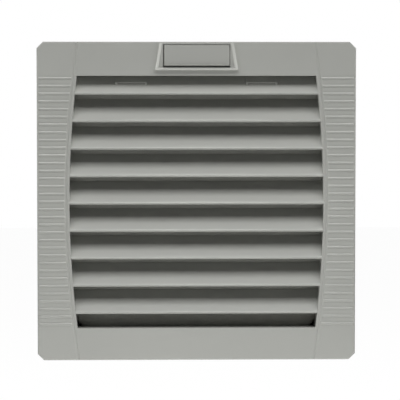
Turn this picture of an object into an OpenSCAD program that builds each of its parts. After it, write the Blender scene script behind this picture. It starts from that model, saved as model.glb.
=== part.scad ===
// Cabinet filter fan: a louvred, bottom-hinged cover with a push latch over a filter mat,
// in a snap-in housing that carries an axial fan with an external-rotor motor.
//
// Frame: the origin is the centre of the panel cut-out on the panel's outer face.
// +X is to the right seen from the front, +Y goes into the cabinet and +Z is up. Millimetres.

/* [Cover] */
// Width and height of the square cover
cover_w = 252; // [225:1:285]
// Depth of the cover from its front face to its rear edge
cover_depth = 15; // [14:0.5:18]
// Wall thickness of the cover
cover_wall = 2.5; // [2:0.1:3]
// Leg of the cut-off corners
corner_cut = 5; // [3:0.5:7]
// Bevel round the front edge
edge_bevel = 0.8; // [0.4:0.1:1.2]
// Gap between the cover's rear edge and the flange
cover_gap = 0.4; // [0.3:0.1:0.8]

/* [Louvres] */
// Width of each side panel at mid-height
side_panel_w = 25.4; // [20:0.2:40]
// Height of the band over the louvre field
top_band = 26.7; // [25:0.1:36]
// Height of the band under the louvre field
bottom_band = 25.5; // [16:0.1:36]
// Radius of the bowed sides of the field
side_radius = 818; // [700:1:1000]
// Wall round the louvre field
well_wall = 2; // [1.5:0.1:2.5]
// Distance between neighbouring slats
slat_pitch = 21.7; // [18:0.1:30]
// How far the slats' noses lie below an even spread over the field
slat_drop = 0.7; // [0:0.1:2]
// Thickness of a slat
slat_t = 2.2; // [1.8:0.1:2.6]
// Slope of a slat, rising towards the back
slat_slope = 47; // [42:1:50]
// Distance of the two tabs under the top band from the centre
tab_x = 51.7; // [40:0.1:60]
// Width of such a tab
tab_w = 24.6; // [18:0.2:30]
// How far a tab shows below the top band
tab_drop = 5; // [3:0.2:5.4]

/* [Side ribs] */
// Distance between neighbouring ribs
rib_pitch = 6.08; // [5:0.02:9]
// Width of a rib
rib_w = 2.2; // [1.6:0.1:2.8]
// Height of a rib above the face
rib_h = 0.6; // [0.4:0.05:0.8]
// Bare margin between the ribs and the cover's edge
rib_margin = 1.6; // [1.2:0.1:3]
// Distance of the groove's centre from the field's edge
groove_offset = 2.7; // [2.4:0.1:4]
// Width of the groove beside the field
groove_w = 2.4; // [1.4:0.1:2.6]
// Depth of that groove
groove_depth = 0.5; // [0.3:0.05:0.8]

/* [Latch] */
// Width of the latch plate
latch_w = 52; // [40:0.2:70]
// Height of the latch plate
latch_h = 16.8; // [14:0.1:18]
// Thickness of the latch plate
latch_t = 2.6; // [2.2:0.1:3]
// Mean gap at each end of the plate
latch_end_gap = 0.5; // [0.5:0.1:1]
// How far the plate sits off the middle of its window
latch_shift = 0.2; // [0:0.1:0.4]
// Gap over the plate
latch_top_gap = 0.3; // [0.3:0.1:0.6]
// Gap under the plate, which swings in there
latch_foot_gap = 1.2; // [1:0.1:1.6]
// Cover left above the latch window
latch_head = 2; // [1.6:0.1:2.6]
// Depth of the latch pivot behind the front face
latch_pivot_depth = 5.6; // [5.4:0.1:6.4]
// Diameter of the latch trunnions
trunnion_d = 3; // [2.4:0.1:3.4]
// Flat between the latch window and the raised rim at the cover's top edge
rim_land = 0.1; // [0:0.1:2]
// Sideways flare of the rim per millimetre downwards
rim_flare = 0.165; // [0.1:0.005:0.2]
// Width of the rim's sides
rim_w = 3; // [2.4:0.1:3.6]
// Width of the rim's foot
rim_foot = 2.2; // [1.8:0.1:2.6]
// Height of the rim above the face
rim_h = 2.2; // [1.4:0.1:2.6]

/* [Hinge] */
// Radius of the cover's rolled lower edge about the hinge pin
hinge_r = 3.7; // [3.4:0.1:4.4]
// Diameter of the hinge pins
pin_d = 3; // [2.6:0.1:3.2]
// Distance of the hinge lugs from the cover's sides
hinge_inset = 34; // [24:1:60]
// Width of a hinge lug
lug_w = 6; // [5:0.5:8]
// How far a lug's outline stays inside the rolled edge
lug_inset = 0.8; // [0.5:0.1:1.2]
// Width of the cover's cheek on each side of a lug
cheek_w = 4; // [3:0.5:6]
// Length of the striker tab above the louvre field
striker_w = 20; // [12:1:30]
// How far the striker's upper face lies below the latch pivot
striker_drop = 3.9; // [3.4:0.1:5]

/* [Housing] */
// How far the flange stays inside the cover's edge
flange_inset = 2; // [1:0.1:4]
// Width of the flange outside the panel cut-out
flange_lip = 12.5; // [11:0.1:18]
// Gap between the housing and the cut-out
cutout_gap = 0.5; // [0.4:0.1:1]
// Wall thickness of the housing
housing_wall = 3; // [2.5:0.1:3.5]
// Leg of the housing's cut-off corners, which hold the clips
pocket_cut = 22; // [20:0.5:26]
// Depth of the housing behind the panel's outer face
housing_depth = 31; // [28:0.5:45]
// Thickness of the flange
flange_t = 2.8; // [2.4:0.1:3.4]
// Diameter of the flange screw holes
flange_hole_d = 4.5; // [4.2:0.1:4.8]
// Thickness of the sealing strip
gasket_t = 3; // [2:0.1:4]
// Width of the sealing strip
gasket_w = 4.4; // [3:0.1:5]

/* [Filter] */
// Thickness of the filter mat
mat_t = 17; // [10:0.5:19]
// Gap round the filter mat
mat_gap = 0.7; // [0.4:0.1:1]
// Thickness of the support grid
grid_t = 3; // [2.5:0.1:3.5]
// Distance between neighbouring grid bars
grid_pitch = 20; // [18:1:24]
// Width of a grid bar
grid_bar = 2.6; // [2:0.1:3.4]
// Width of the ledge that carries the grid
ledge_w = 3; // [2:0.2:4]

/* [Corner clips] */
// How far a claw stands past the edge of the cut-out
clip_reach = 2.4; // [2:0.1:2.4]
// Gap between the panel's outer face and the first claw step
clip_start = 1.2; // [0.8:0.1:1.6]
// Number of claw steps for different panel thicknesses
clip_steps = 3; // [2:1:3]
// Depth of one claw step
clip_step = 0.7; // [0.5:0.1:0.9]
// Distance of the clip pivot from the housing's rear face
clip_pivot_inset = 4.4; // [3.6:0.1:8]
// Diameter of the clip pins
clip_pin_d = 2.8; // [2.4:0.1:3]
// Diameter of the clip's hub
clip_hub_d = 6; // [5.6:0.1:6.2]
// Length of the clip's hub
clip_hub_l = 10; // [9:0.5:10.5]

/* [Fan frame] */
// Depth of the fan frame
fan_depth = 48; // [44:0.5:60]
// Inner diameter of the air duct
duct_d = 143; // [125:0.5:160]
// Wall thickness of the air duct
duct_wall = 3; // [2:0.1:3.4]
// Thickness of the fan's end flanges
end_flange_t = 4; // [3:0.1:4.6]
// How far the end flanges' flats stand past the duct
flat_margin = 0.5; // [0.2:0.1:4]
// Distance of the fan screws from the duct's outside
screw_margin = 6.5; // [5.5:0.1:9]
// Distance of the fan screws from the end flanges' round edge
screw_edge = 5; // [4:0.1:8]
// Angle of the fan screws from the horizontal
hole_angle = 25; // [20:0.5:32]
// Diameter of the fan's screw holes
hole_d = 4.5; // [4.3:0.1:4.8]
// Inlet rounding of the duct
inlet_r = 2.6; // [1.6:0.1:3]

/* [Motor bracket] */
// Width of the arms that carry the motor
arm_w = 7; // [5:0.5:9]
// Thickness of the arms' end tabs on the fan frame
tab_t = 3; // [2:0.1:4]
// Thickness of the bracket's round plate
plate_t = 4; // [3:0.1:5]

/* [Impeller and motor] */
// Distance of the rotor cup from the fan's front face
cup_inset = 5; // [3:0.5:9]
// Gap between the rotor cup and the motor bracket
cup_gap = 2; // [1:0.1:4]
// Wall thickness of the rotor cup
rotor_wall = 1.6; // [1.2:0.1:2]
// Thickness of the rotor cage in the cup
cage_t = 4; // [3:0.1:6]
// Gap between the blade tips and the duct
tip_gap = 1.2; // [0.8:0.1:2]
// Number of blades
blade_count = 7; // [5:1:9]
// Blade thickness
blade_t = 1.6; // [1.2:0.1:2.2]
// Blade chord at the root
root_chord = 30; // [26:0.5:32]
// Blade chord at the tip
tip_chord = 40; // [34:0.5:42]
// Angle of the root chord from the fan axis
root_stagger = 36; // [30:1:45]
// Angle of the tip chord from the fan axis
tip_stagger = 62; // [58:1:68]
// Blade camber, as a share of the chord
camber = 0.08; // [0.04:0.01:0.12]
// Diameter of the motor shaft
shaft_d = 6; // [5:0.2:6.4]
// Outer diameter of the ball bearings
bearing_d = 13; // [12:0.2:14]
// Width of the ball bearings
bearing_w = 5; // [4:0.2:5.4]
// Wall thickness of the bearing tube
tube_wall = 2; // [1.6:0.1:2.6]
// Outer diameter of the stator
stator_d = 54; // [48:0.2:62]
// Gap between the stator and the rotor
air_gap = 0.4; // [0.3:0.05:0.6]
// Stack length of the stator laminations
stack_l = 16; // [12:0.5:17]
// Width of a stator pole
pole_w = 12; // [10:0.5:13]
// Thickness of the winding round a pole
winding = 4; // [3:0.2:4.4]

/* [Finger guard] */
// Wire diameter of the guard's rings
ring_wire = 2; // [1.6:0.1:2.4]
// Wire diameter of the guard's legs
leg_wire = 2.8; // [2.4:0.1:3.2]
// Number of rings
ring_count = 7; // [5:1:9]
// Radius of the smallest ring
ring_first = 12; // [8:0.5:20]
// How far the largest ring stands past the duct
ring_outset = 2.5; // [0:0.1:4]

/* [Fasteners and terminals] */
// Thread diameter of the screws
screw_d = 4; // [3.5:0.1:4]
// Head diameter of the screws
head_d = 7.6; // [7:0.1:8]
// Head height of the screws
head_h = 2.8; // [2.4:0.1:3.2]
// Width across the flats of the nuts
nut_flat = 7; // [6.6:0.1:7.2]
// Height of the nuts
nut_h = 3.2; // [2.8:0.1:3.6]
// Number of poles of the terminal block
pole_count = 3; // [2:1:4]
// Distance between neighbouring poles
terminal_pitch = 10.5; // [9:0.5:12]
// Height of the terminal block
terminal_h = 20; // [16:0.5:22]
// Depth of the terminal block
terminal_depth = 18; // [15:0.5:20]
// Diameter of the wire entries
wire_entry_d = 4.6; // [4.2:0.1:5]
// Depth of the wire entries
wire_entry_l = 12; // [9:0.5:14]
// Diameter of the terminal screws
terminal_screw_d = 5.6; // [5:0.1:6]

/* [Hidden] */

$fn = 96;
// Facets of the long arcs beside the louvres
arc_fn = 720;
// How far a cut runs past a face
past = 1;
// How far a fused piece sinks into the piece that carries it
sink = 0.4;
// Clearances: running fits, pieces that pass each other, and seats of one assembly
running = 0.05;
pass_gap = 0.4;
seat = 0.02;
root2 = sqrt(2);
// How much less a 45 degree corner's leg gets per millimetre of inward offset
corner_loss = 2 - root2;

cover_grey = [0.62, 0.625, 0.60];
housing_grey = [0.60, 0.605, 0.58];
clip_black = [0.08, 0.08, 0.085];
mat_grey = [0.45, 0.45, 0.43];
foam_black = [0.06, 0.06, 0.06];
cast_grey = [0.66, 0.67, 0.68];
steel = [0.55, 0.56, 0.58];
blade_black = [0.07, 0.07, 0.075];
copper = [0.72, 0.40, 0.22];
terminal_grey = [0.83, 0.83, 0.80];

// Widths that follow from the cover
half_cover = cover_w / 2;
flange_w = cover_w - 2 * flange_inset;
cutout_w = flange_w - 2 * flange_lip;
flange_hole_x = cutout_w / 2 + (flange_lip - gasket_w) / 2;
field_w = cover_w - 2 * side_panel_w;
field_h = cover_w - top_band - bottom_band;
field_z = (bottom_band - top_band) / 2;
slat_count = floor(field_h / slat_pitch);
rib_count = 2 * floor(field_h / rib_pitch / 2) + 1;
rim_half = latch_w / 2 + latch_end_gap + rim_land;
hinge_x = half_cover - hinge_inset;

// Diameters that follow from the duct and the stator
fan_flat = duct_d + 2 * (duct_wall + flat_margin);
hole_pcd = duct_d + 2 * (duct_wall + screw_margin);
fan_d = hole_pcd + 2 * screw_edge;
rotor_d = stator_d + 2 * (air_gap + cage_t + rotor_wall);
ring_pitch = (duct_d / 2 + ring_outset - ring_first) / (ring_count - 1);

// Depths along Y
flange_back = -gasket_t;
flange_front = flange_back - flange_t;
back_y = flange_front - cover_gap;
front_y = back_y - cover_depth;
mat_front = flange_front + pass_gap;
mat_back = mat_front + mat_t;
grid_back = mat_back + grid_t;
ledge_t = 2;
clip_pivot_y = housing_depth - clip_pivot_inset;
fan_front = housing_depth;
fan_back = fan_front + fan_depth;
tab_back = fan_back + tab_t;
base_back = fan_back;
base_front = base_back - plate_t;
cup_front = fan_front + cup_inset;
cup_back = base_front - cup_gap;
rotor_l = cup_back - cup_front;

// Heights along Z
field_top = half_cover - top_band;
window_top = half_cover - latch_head;
window_foot = window_top - latch_top_gap - latch_h - latch_foot_gap;
hinge_z = hinge_r - half_cover;
hinge_y = back_y - hinge_r;
pivot_drop = 3;
latch_pivot_z = window_top - pivot_drop;
latch_pivot_y = front_y + latch_pivot_depth;

// Sketches in X and Z, extruded from depth y0 to depth y1
module slab(y0, y1) translate([0, y1, 0]) rotate([90, 0, 0]) linear_extrude(y1 - y0) children();

// Sketches in Y and Z, extruded from x0 to x1
module bar(x0, x1) translate([x0, 0, 0]) rotate([90, 0, 90]) linear_extrude(x1 - x0) children();

// Sketches of radius and depth, turned about the fan's axis
module turned() rotate([-90, 0, 0]) rotate_extrude() children();

module rod_x(d, x0, x1) translate([x0, 0, 0]) rotate([0, 90, 0]) cylinder(d = d, h = x1 - x0);

module rod_y(d, y0, y1) translate([0, y0, 0]) rotate([-90, 0, 0]) cylinder(d = d, h = y1 - y0);

// A ring of radii r0 to r1 between depths y0 and y1
module ring(r0, r1, y0, y1) turned() translate([r0, y0]) square([r1 - r0, y1 - y0]);

module left_and_right() {
    children();
    mirror([1, 0, 0]) children();
}

module four_corners() left_and_right() {
    children();
    mirror([0, 0, 1]) children();
}

// Turns a piece so that its X runs along the diagonal of the upper right corner
module at_corner() rotate([0, -45, 0]) children();

module chamfered_square(w, cut) {
    h = w / 2;
    polygon([[cut - h, -h], [h - cut, -h], [h, cut - h], [h, h - cut],
             [h - cut, h], [cut - h, h], [-h, h - cut], [-h, cut - h]]);
}

// The four directions of the fan screws, and their places on the pitch circle
module at_fan_angles() for (a = [hole_angle, 180 - hole_angle, 180 + hole_angle, -hole_angle])
    rotate([0, -a, 0]) children();

module at_fan_holes() at_fan_angles() translate([hole_pcd / 2, 0, 0]) children();

// Front cover

// The barrel-shaped louvre field, grown by a margin
module field_outline(grow = 0) intersection() {
    translate([0, field_z]) square([field_w + 2 * grow, field_h + 2 * grow], center = true);
    translate([side_radius - field_w / 2, 0]) circle(r = side_radius + grow, $fn = arc_fn);
    translate([field_w / 2 - side_radius, 0]) circle(r = side_radius + grow, $fn = arc_fn);
}

// The side panels outside the grooves, where the ribs lie
module side_panels() difference() {
    square(cover_w, center = true);
    intersection() {
        grow = groove_offset + groove_w / 2;
        translate([side_radius - field_w / 2, 0]) circle(r = side_radius + grow, $fn = arc_fn);
        translate([field_w / 2 - side_radius, 0]) circle(r = side_radius + grow, $fn = arc_fn);
    }
}

module side_groove() {
    r = side_radius + groove_offset;
    h = groove_w / 2;
    translate([side_radius - field_w / 2, front_y, 0]) rotate([-90, 0, 0])
        rotate_extrude($fn = arc_fn)
            polygon([[r - h, -past], [r + h, -past], [r + h, 0], [r, groove_depth], [r - h, 0]]);
}

module cover_shell() difference() {
    hull() {
        slab(front_y, back_y)
            chamfered_square(cover_w - 2 * edge_bevel, corner_cut - corner_loss * edge_bevel);
        slab(front_y + edge_bevel, back_y) chamfered_square(cover_w, corner_cut);
    }
    slab(front_y + cover_wall, back_y + past) difference() {
        chamfered_square(cover_w - 2 * cover_wall, corner_cut - corner_loss * cover_wall);
        field_outline(well_wall);
    }
    slab(front_y - past, back_y + past) field_outline();
    left_and_right() side_groove();
}

// One louvre slat with a round nose, its rear end cut upright at the cover's rear edge
module slat_profile(nose_z) {
    c = cos(slat_slope);
    s = sin(slat_slope);
    run = back_y - front_y - slat_t / 2;
    translate([front_y + slat_t / 2, nose_z]) {
        circle(d = slat_t);
        polygon([[slat_t / 2 * s, -slat_t / 2 * c], [run, run * s / c - slat_t / 2 / c],
                 [run, run * s / c + slat_t / 2 / c], [-slat_t / 2 * s, slat_t / 2 * c]]);
    }
}

module slats() intersection() {
    bar(-field_w / 2 - well_wall, field_w / 2 + well_wall)
        for (k = [0 : slat_count - 1])
            slat_profile(top_nose_z - k * slat_pitch);
    slab(front_y - past, back_y) field_outline(well_wall / 2);
}

module side_ribs() {
    r = (rib_w * rib_w / 4 + rib_h * rib_h) / (2 * rib_h);
    intersection() {
        bar(rib_margin - half_cover, half_cover - rib_margin)
            for (k = [0 : rib_count - 1])
                translate([front_y + r - rib_h, (k - (rib_count - 1) / 2) * rib_pitch]) circle(r = r);
        slab(front_y - rib_h - past, front_y + cover_wall / 2) side_panels();
    }
}

top_nose_z = field_z - slat_drop + (slat_count - 1) / 2 * slat_pitch;

// Part of a plate that lies on the top slat, rise above it, between two distances from the centre
module tab_plate(rise, from, to) {
    shortest = 2;
    over_nose = field_top - tab_drop - top_nose_z - (slat_t / 2 + rise) / cos(slat_slope);
    front = min(front_y + slat_t / 2 + over_nose / tan(slat_slope), back_y - shortest);
    bar(from, to) intersection() {
        slat_profile(top_nose_z + rise / cos(slat_slope));
        translate([front, top_nose_z]) square([back_y - front, field_top + well_wall / 2 - top_nose_z]);
    }
}

// Two tabs with raised ends on the top slat, in the shade of the top band
module band_tabs() {
    web = 0.6;
    ridge = 1.5;
    leg = 1.4;
    inner = tab_x - tab_w / 2;
    outer = tab_x + tab_w / 2;
    left_and_right() {
        tab_plate(web, inner, outer);
        tab_plate(ridge, inner, inner + leg);
        tab_plate(ridge, outer - leg, outer);
    }
}

// The trapezium of the latch rim, grown by a margin and closed at height top
module rim_outline(grow, top) {
    foot = window_foot - rim_foot * grow / rim_w;
    half_top = rim_half + rim_flare * (half_cover - top) + grow;
    half_foot = rim_half + rim_flare * (half_cover - foot) + grow;
    polygon([[-half_foot, foot], [half_foot, foot], [half_top, top], [-half_top, top]]);
}

// A raised U round the latch with sloping inner faces, open at the cover's top edge
module latch_rim() {
    crest = 0.6;
    difference() {
        slab(front_y - rim_h, front_y + cover_wall / 2) rim_outline(rim_w, half_cover - edge_bevel);
        hull() {
            slab(front_y, front_y + seat) rim_outline(0, half_cover + past);
            slab(front_y - rim_h - seat, front_y - rim_h) rim_outline(rim_w - crest, half_cover + past);
        }
    }
}

module latch_window() translate([-latch_w / 2 - latch_end_gap, front_y - rim_h - past, window_foot])
    cube([latch_w + 2 * latch_end_gap, rim_h + cover_wall + 2 * past, window_top - window_foot]);

ear_t = 3;
ear_x = latch_w / 2 + latch_end_gap + pass_gap;

// Ears behind the face that carry the latch trunnions
module latch_ears() left_and_right()
    bar(ear_x, ear_x + ear_t) {
        translate([latch_pivot_y, latch_pivot_z]) circle(d = 2 * trunnion_d);
        translate([front_y + cover_wall - sink, latch_pivot_z - trunnion_d])
            square([latch_pivot_depth - cover_wall + sink, window_top + latch_head - cover_wall + sink
                    - latch_pivot_z + trunnion_d]);
    }

// The rolled lower edge, as a sketch in Y and Z that holds what is cut away
module rolled_edge_cut() difference() {
    translate([hinge_y, -half_cover - past]) square([hinge_r + past, hinge_r + past]);
    translate([hinge_y, hinge_z]) circle(r = hinge_r);
}

lug_r = hinge_r - lug_inset;
notch_r = lug_r + pass_gap;

// Cheeks beside each hinge lug, which hold the pin's ends
module hinge_cheeks() left_and_right()
    bar(hinge_x - lug_w / 2 - pass_gap - cheek_w, hinge_x + lug_w / 2 + pass_gap + cheek_w)
        difference() {
            translate([hinge_y - notch_r, -half_cover + sink])
                square([notch_r + hinge_r, hinge_z + half_cover + notch_r - sink]);
            rolled_edge_cut();
        }

module hinge_notches() left_and_right()
    bar(hinge_x - lug_w / 2 - pass_gap, hinge_x + lug_w / 2 + pass_gap)
        translate([hinge_y - notch_r, -half_cover - past])
            square([notch_r + hinge_r + past, hinge_z + half_cover + past + notch_r + seat]);

module front_cover() color(cover_grey) difference() {
    union() {
        cover_shell();
        slats();
        side_ribs();
        band_tabs();
        latch_rim();
        latch_ears();
        hinge_cheeks();
    }
    latch_window();
    bar(-half_cover - past, half_cover + past) rolled_edge_cut();
    hinge_notches();
    translate([0, hinge_y, hinge_z])
        rod_x(pin_d + 2 * seat, cover_wall - half_cover, half_cover - cover_wall);
    translate([0, latch_pivot_y, latch_pivot_z])
        rod_x(trunnion_d + 2 * running, -ear_x - ear_t - past, ear_x + ear_t + past);
}

module hinge_pins() color(steel) left_and_right() translate([0, hinge_y, hinge_z])
    rod_x(pin_d, hinge_x - lug_w / 2 - pass_gap - cheek_w, hinge_x + lug_w / 2 + pass_gap + cheek_w);

// Latch

// A rocking plate with trunnions near its top edge and a hook that rides over the striker
module cover_latch() color(cover_grey) {
    top = window_top - latch_top_gap;
    foot = top - latch_h;
    bevel = 0.5;
    arm_t = 2.4;
    arm_drop = 0.5;
    hook_side = 2;
    hook_inset = 1.8;
    hook_drop = striker_top + latch_lift;
    hook_back = back_y - hook_inset;
    hook_half = striker_w / 2 - hook_side;
    arm_top = latch_pivot_z + trunnion_d / 2 - arm_drop;
    translate([latch_shift, 0, 0]) hull() {
        slab(front_y, front_y + latch_t) translate([0, (top + foot) / 2])
            square([latch_w - 2 * bevel, latch_h - 2 * bevel], center = true);
        slab(front_y + bevel, front_y + latch_t) translate([0, (top + foot) / 2])
            square([latch_w, latch_h], center = true);
    }
    left_and_right() {
        cheek = latch_w / 2 - latch_shift;
        bar(cheek - ear_t, cheek) {
            translate([latch_pivot_y, latch_pivot_z]) circle(d = trunnion_d + 1.6);
            translate([front_y + latch_t - sink, latch_pivot_z - trunnion_d])
                square([latch_pivot_depth - latch_t + sink, trunnion_d * 1.5]);
        }
        translate([0, latch_pivot_y, latch_pivot_z]) rod_x(trunnion_d, cheek - sink, ear_x + ear_t);
    }
    bar(-hook_half, hook_half) {
        translate([front_y + latch_t - sink, arm_top - arm_t])
            square([hook_back - front_y - latch_t + sink, arm_t]);
        translate([hook_back - arm_t, hook_drop]) square([arm_t, arm_top - hook_drop]);
    }
}

// Housing

spigot_w = cutout_w - 2 * cutout_gap;
inner_w = spigot_w - 2 * housing_wall;
inner_cut = pocket_cut - corner_loss * housing_wall;
// Distance of the corner pocket's wall from the centre, along the diagonal
pocket_u = (spigot_w - pocket_cut) / root2;
latch_lift = 0.3;
striker_top = latch_pivot_z - striker_drop;
striker_t = 3.4;
striker_l = 4.4;
striker_front = back_y - striker_l;
boss_l = 5;
boss_d = 9;

module spigot() {
    slab(flange_front, housing_depth) difference() {
        chamfered_square(spigot_w, pocket_cut);
        chamfered_square(inner_w, inner_cut);
    }
    slab(grid_back, grid_back + ledge_t) difference() {
        chamfered_square(inner_w + housing_wall, inner_cut);
        chamfered_square(inner_w - 2 * ledge_w, inner_cut - corner_loss * ledge_w);
    }
    slab(housing_depth - housing_wall, housing_depth) difference() {
        chamfered_square(spigot_w, pocket_cut);
        circle(d = duct_d + 2 * inlet_r);
    }
}

module flange() slab(flange_front, flange_back) difference() {
    chamfered_square(flange_w, corner_cut);
    chamfered_square(inner_w, inner_cut);
    for (x = [-1, 1], z = [-1, 1]) translate([x, z] * flange_hole_x) circle(d = flange_hole_d);
}

module hinge_lugs() left_and_right() bar(hinge_x - lug_w / 2, hinge_x + lug_w / 2) {
    translate([hinge_y, hinge_z]) circle(r = lug_r);
    translate([hinge_y, hinge_z - lug_r]) square([flange_front + sink - hinge_y, 2 * lug_r]);
}

// The tab that the latch hook rides over
module striker() translate([-striker_w / 2, striker_front, striker_top - striker_t])
    cube([striker_w, flange_front + sink - striker_front, striker_t]);

hub_stand = 0.8;
clip_u = pocket_u + clip_hub_d / 2 + hub_stand;
clip_ear_t = 2.6;
clip_ear_z = clip_hub_l / 2 + pass_gap;

// Pairs of ears in the corner pockets, which carry the clip pins
module clip_ears() four_corners() at_corner() for (z = [-clip_ear_z - clip_ear_t, clip_ear_z])
    translate([0, 0, z]) linear_extrude(clip_ear_t) {
        translate([clip_u, clip_pivot_y]) circle(d = clip_hub_d);
        translate([pocket_u - sink, clip_pivot_y - clip_hub_d / 2])
            square([clip_u - pocket_u + sink, clip_hub_d]);
    }

// Arcs that locate the fan, and stiffening ribs towards the corners
module rear_ribs() {
    collar = 2;
    collar_h = 3;
    rib_t = 2.4;
    slab(housing_depth - sink, housing_depth + collar_h) intersection() {
        difference() {
            circle(d = fan_d + 2 * (collar + pass_gap));
            circle(d = fan_d + 2 * pass_gap);
        }
        square([fan_d + 4 * collar, fan_d / 2], center = true);
    }
    four_corners() at_corner() translate([fan_d / 2 + collar, housing_depth - sink, -rib_t / 2])
        cube([pocket_u - fan_d / 2 - 2 * collar, collar_h + sink, rib_t]);
}

module housing() color(housing_grey) difference() {
    union() {
        flange();
        spigot();
        hinge_lugs();
        striker();
        clip_ears();
        rear_ribs();
        at_fan_holes() rod_y(boss_d, housing_depth - housing_wall - boss_l, housing_depth - sink);
    }
    translate([0, hinge_y, hinge_z]) rod_x(pin_d + 2 * running, -half_cover, half_cover);
    four_corners() at_corner() translate([clip_u, clip_pivot_y, -clip_ear_z - clip_ear_t - past])
        cylinder(d = clip_pin_d + 2 * seat, h = 2 * (clip_ear_z + clip_ear_t + past));
    at_fan_holes()
        rod_y(screw_d + 2 * seat, housing_depth - housing_wall - boss_l - past, housing_depth + past);
}

module flange_gasket() color(foam_black) slab(flange_back, 0) difference() {
    chamfered_square(flange_w, corner_cut);
    chamfered_square(flange_w - 2 * gasket_w, corner_cut - corner_loss * gasket_w);
}

module filter_mat() color(mat_grey) slab(mat_front, mat_back)
    chamfered_square(inner_w - 2 * mat_gap, inner_cut - corner_loss * mat_gap);

module filter_grid() color(housing_grey) {
    grid_gap = 0.4;
    frame = 8;
    w = inner_w - 2 * grid_gap;
    cut = inner_cut - corner_loss * grid_gap;
    n = floor((w - 2 * frame) / grid_pitch / 2);
    slab(mat_back, grid_back) {
        difference() {
            chamfered_square(w, cut);
            chamfered_square(w - 2 * frame, cut - corner_loss * frame);
        }
        intersection() {
            chamfered_square(w - frame, cut - corner_loss * frame / 2);
            for (k = [-n : n]) {
                translate([k * grid_pitch, 0]) square([grid_bar, w], center = true);
                translate([0, k * grid_pitch]) square([w, grid_bar], center = true);
            }
        }
    }
}

// Corner clips

// Each claw step's setback, the land behind the last one, and where the ramp ends
claw_setback = 0.8;
claw_land = 0.8;
ramp_inset = 3.6;
ramp_end = 4.6;
// Depth of the finger along the diagonal, its neck's length and the neck's gap to the wall
finger_depth = 10;
neck_l = 8.6;
neck_stand = 2.4;

// A claw's outline in X and Y: steps that grip behind the panel, then a ramp to the rear
module claw_outline() {
    tip = cutout_w / 2 + clip_reach;
    inner = cutout_w / 2 - 2 * clip_hub_l;
    ramp_y = clip_start + (clip_steps - 1) * clip_step + claw_land;
    polygon(concat(
        [[inner, clip_start]],
        [for (j = [0 : clip_steps - 1], k = [0, 1])
            [tip - (clip_steps - 1 - j) * claw_setback, clip_start + max(0, j - 1 + k) * clip_step]],
        [[tip, ramp_y], [cutout_w / 2 - ramp_inset, clip_pivot_y - ramp_end],
         [inner, clip_pivot_y - ramp_end]]));
}

module claw() translate([0, 0, cutout_w / 2 - 2 * clip_hub_l])
    linear_extrude(3 * clip_hub_l) claw_outline();

// A finger that fills the cut-out's corner, with a neck to the hub that turns on the pin
module corner_clip() color(clip_black) difference() {
    front_u = (cutout_w / 2 + clip_reach) * root2 - finger_depth;
    neck_u = pocket_u + neck_stand;
    neck_y = clip_pivot_y - neck_l;
    union() {
        intersection() {
            claw();
            mirror([1, 0, -1]) claw();
            at_corner() translate([0, 0, -1.5 * clip_hub_l]) linear_extrude(3 * clip_hub_l)
                polygon([[front_u, clip_start], [front_u + 2 * clip_hub_l, clip_start],
                         [front_u + 2 * clip_hub_l, clip_pivot_y], [neck_u, clip_pivot_y],
                         [neck_u, neck_y]]);
        }
        at_corner() translate([neck_u, neck_y, -clip_hub_l / 2])
            cube([clip_hub_d / 2 + clip_u - neck_u, neck_l, clip_hub_l]);
        at_corner() translate([clip_u, clip_pivot_y, -clip_hub_l / 2])
            cylinder(d = clip_hub_d, h = clip_hub_l);
    }
    at_corner() translate([clip_u, clip_pivot_y, -clip_hub_l])
        cylinder(d = clip_pin_d + 2 * running, h = 2 * clip_hub_l);
}

module clip_top_right() corner_clip();
module clip_top_left() mirror([1, 0, 0]) corner_clip();
module clip_bottom_right() mirror([0, 0, 1]) corner_clip();
module clip_bottom_left() mirror([0, 0, 1]) mirror([1, 0, 0]) corner_clip();

module clip_pins() color(steel) four_corners() at_corner()
    translate([clip_u, clip_pivot_y, -clip_ear_z - clip_ear_t])
        cylinder(d = clip_pin_d, h = 2 * (clip_ear_z + clip_ear_t));

// Fan frame

module fan_outline() intersection() {
    circle(d = fan_d);
    square([fan_d, fan_flat], center = true);
}

// The rounded inlet of the duct, as the ring that is cut away
module inlet_round() turned() translate([duct_d / 2, fan_front]) difference() {
    translate([-past, -past]) square([inlet_r + past, inlet_r + past]);
    translate([inlet_r, inlet_r]) circle(r = inlet_r);
}

module fan_frame() color(cast_grey) difference() {
    union() {
        for (y = [fan_front, fan_back - end_flange_t]) slab(y, y + end_flange_t) fan_outline();
        rod_y(duct_d + 2 * duct_wall, fan_front, fan_back);
    }
    rod_y(duct_d, fan_front - past, fan_back + past);
    inlet_round();
    at_fan_holes() rod_y(hole_d, fan_front - past, fan_back + past);
    translate([earth_x, 0, 0])
        rod_y(screw_d + 2 * seat, fan_back - end_flange_t - past, fan_back + past);
}

// Motor bracket

// Length and wall of the collar in the rotor cup that holds the shaft
hub_l = 3.6;
hub_wall = 3;
tube_front = cup_front + rotor_wall + hub_l + 2 * pass_gap;
tube_r = bearing_d / 2 + tube_wall;
base_margin = 0.5;
base_r = rotor_d / 2 + base_margin;
arm_inset = 1;
tab_l = 6;

// A round plate with a bearing tube, and four arms with tabs that lie on the fan frame
module motor_bracket() color(cast_grey) difference() {
    union() {
        rod_y(2 * base_r, base_front, base_back);
        rod_y(2 * tube_r, tube_front, base_back);
        at_fan_angles() {
            translate([base_r - sink, base_front, -arm_w / 2])
                cube([duct_d / 2 - pass_gap - base_r + sink, tab_back - arm_inset - base_front, arm_w]);
            slab(fan_back, tab_back) {
                translate([hole_pcd / 2, 0]) circle(r = screw_edge);
                translate([duct_d / 2 - tab_l, -screw_edge])
                    square([hole_pcd / 2 - duct_d / 2 + tab_l, 2 * screw_edge]);
            }
        }
    }
    rod_y(bearing_d + 2 * seat, tube_front - past, base_back + past);
    at_fan_holes() rod_y(hole_d, fan_back - past, tab_back + past);
}

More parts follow.
